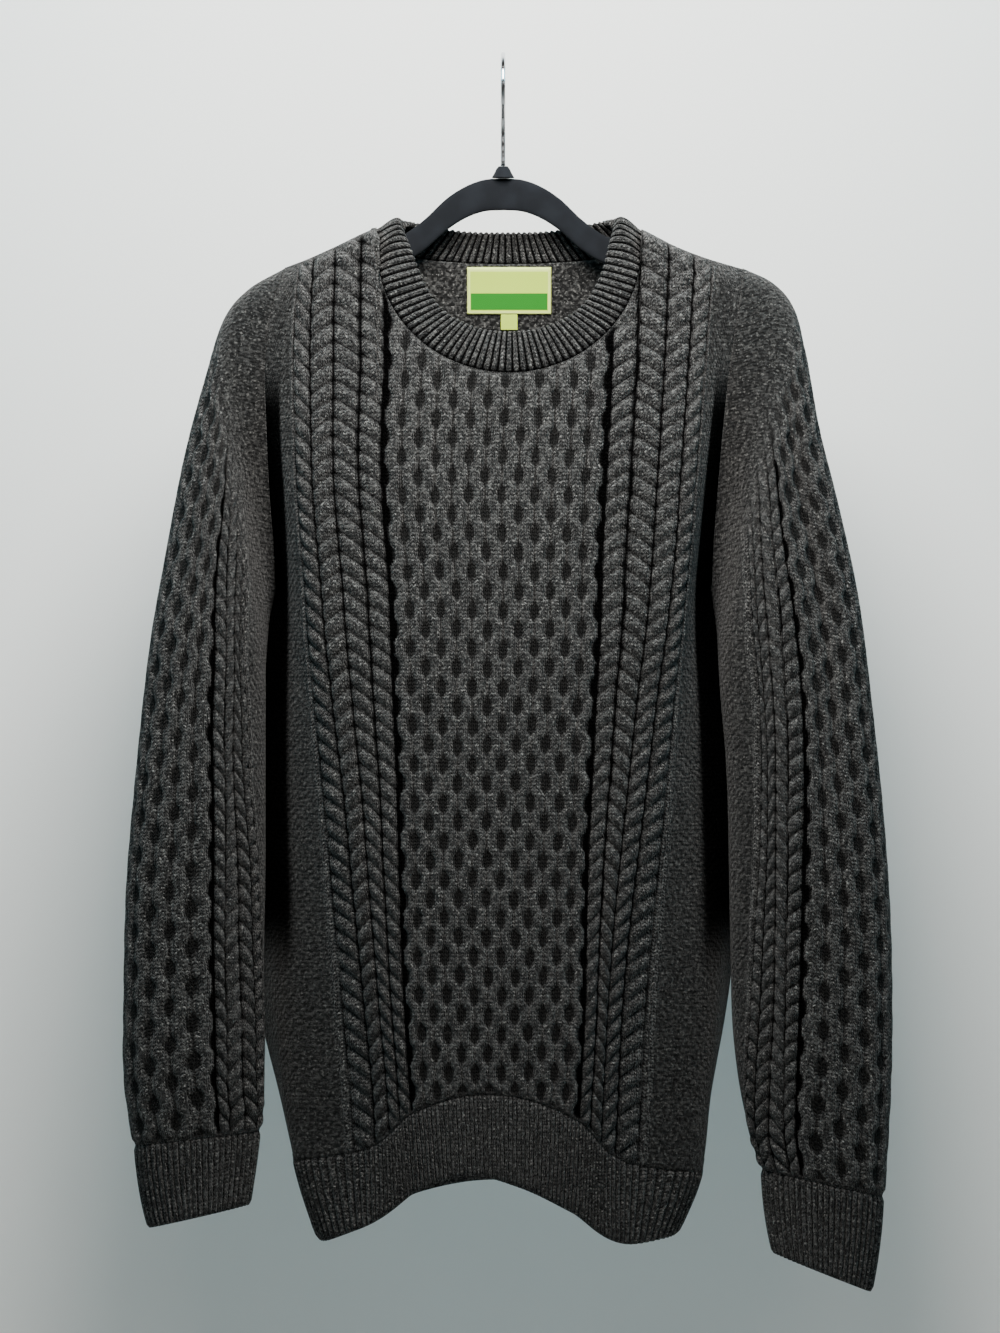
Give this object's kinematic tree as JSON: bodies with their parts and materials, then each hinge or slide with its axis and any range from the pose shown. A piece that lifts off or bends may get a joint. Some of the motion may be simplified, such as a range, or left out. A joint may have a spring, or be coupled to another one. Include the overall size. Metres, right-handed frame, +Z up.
{
  "type": "fisherman sweater on a clothes hanger",
  "caption": "Long-sleeved crew-neck sweater with raised honeycomb, cables and ribs, hanging open and empty on a slim arched clothes hanger with a wire hook.",
  "frame": {"origin": "where the hook's inner top rests on the rail, in the plane of the hanger", "axes": "+Z up, the garment's front faces -Y, and +X is to the right of someone who looks at the front"},
  "size_m": [0.601, 0.1412, 0.9712],
  "materials": {
    "wool": "charcoal heather wool knit",
    "label_weave": "smooth woven label",
    "velvet": "flocked plastic",
    "hook_steel": "polished"
  },
  "bodies": {
    "root": {"front_panel": "wool", "back_panel": "wool", "left_sleeve": "wool", "right_sleeve": "wool", "neckband": "wool", "front_hem_rib": "wool", "back_hem_rib": "wool", "left_cuff": "wool", "right_cuff": "wool", "neck_label": "label_weave", "size_tab": "label_weave", "hanger": "velvet", "hanger_hub": "velvet", "hanger_hook": "hook_steel"}
  },
  "joints": []
}
